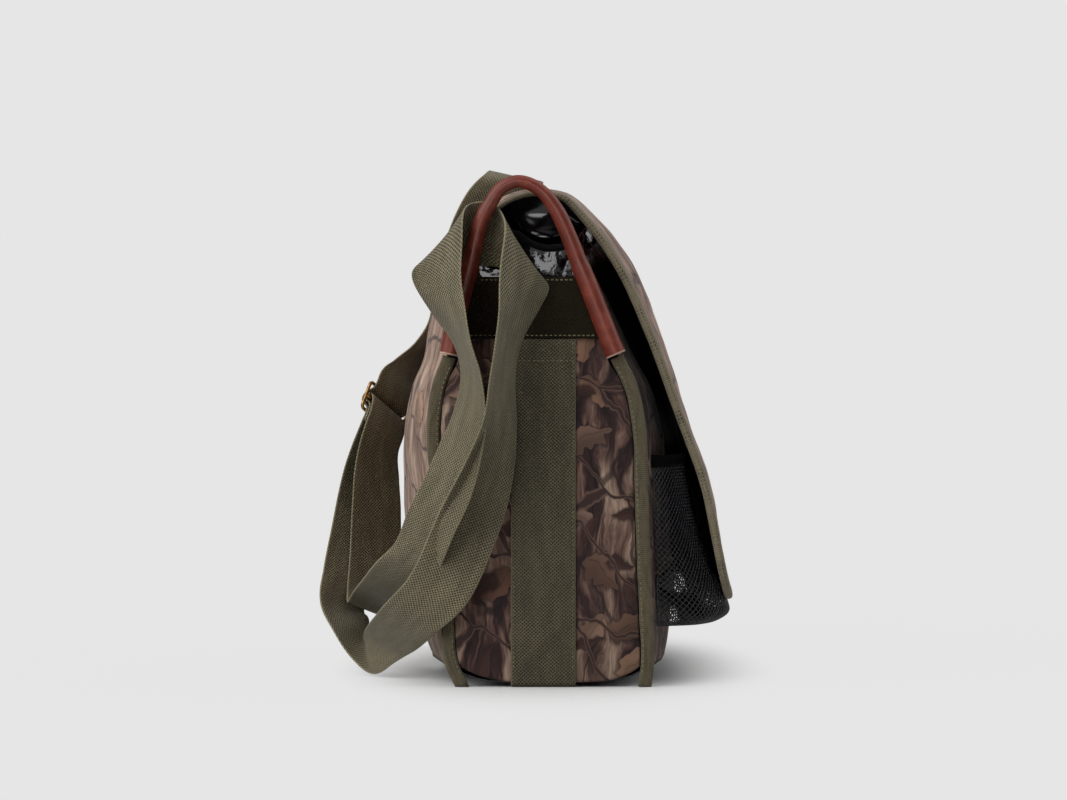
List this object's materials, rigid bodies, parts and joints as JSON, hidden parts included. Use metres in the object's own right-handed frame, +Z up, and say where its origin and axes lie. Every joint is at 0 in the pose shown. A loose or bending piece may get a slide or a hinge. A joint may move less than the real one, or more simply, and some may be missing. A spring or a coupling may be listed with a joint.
{
  "type": "hunting game bag",
  "caption": "Shoulder game bag of camouflage cloth with a front flap, leather-covered end hoops, a vinyl liner, a net pouch and a webbing strap.",
  "frame": {"origin": "on the underside of the webbing that runs under the bag, at mid length, on the surface that the bag stands on", "axes": "+Z is up, -Y is the front with the flap and the net pouch, and X runs along the bag from one gusset to the other"},
  "size_m": [0.4457, 0.3314, 0.4259],
  "materials": {
    "camouflage_cloth": "matt printed woven cloth in bark and leaf camouflage",
    "coated_cloth": "black coated cloth, half matt",
    "black_vinyl": "glossy black vinyl film, creased",
    "black_net": "fine glossy black knitted net",
    "olive_tape": "matt olive woven binding tape, stitched",
    "olive_webbing": "matt olive ribbed webbing",
    "brown_leather": "smooth reddish brown leather, half glossy",
    "antique_brass": "dark antique brass wire"
  },
  "bodies": {
    "root": {"front_panel": "camouflage_cloth", "back_panel": "camouflage_cloth", "gusset_left": "camouflage_cloth", "gusset_right": "camouflage_cloth", "flap": "camouflage_cloth", "bottom_panel": "coated_cloth", "flap_lining": "black_vinyl", "liner": "black_vinyl", "net_pouch": "black_net", "binding_front_left": "olive_tape", "binding_back_left": "olive_tape", "binding_front_right": "olive_tape", "binding_back_right": "olive_tape", "flap_binding": "olive_tape", "top_band_left": "olive_webbing", "top_band_right": "olive_webbing", "girth_webbing": "olive_webbing", "shoulder_strap": "olive_webbing", "hoop_left": "brown_leather", "hoop_right": "brown_leather", "strap_slider": "antique_brass"}
  },
  "joints": []
}
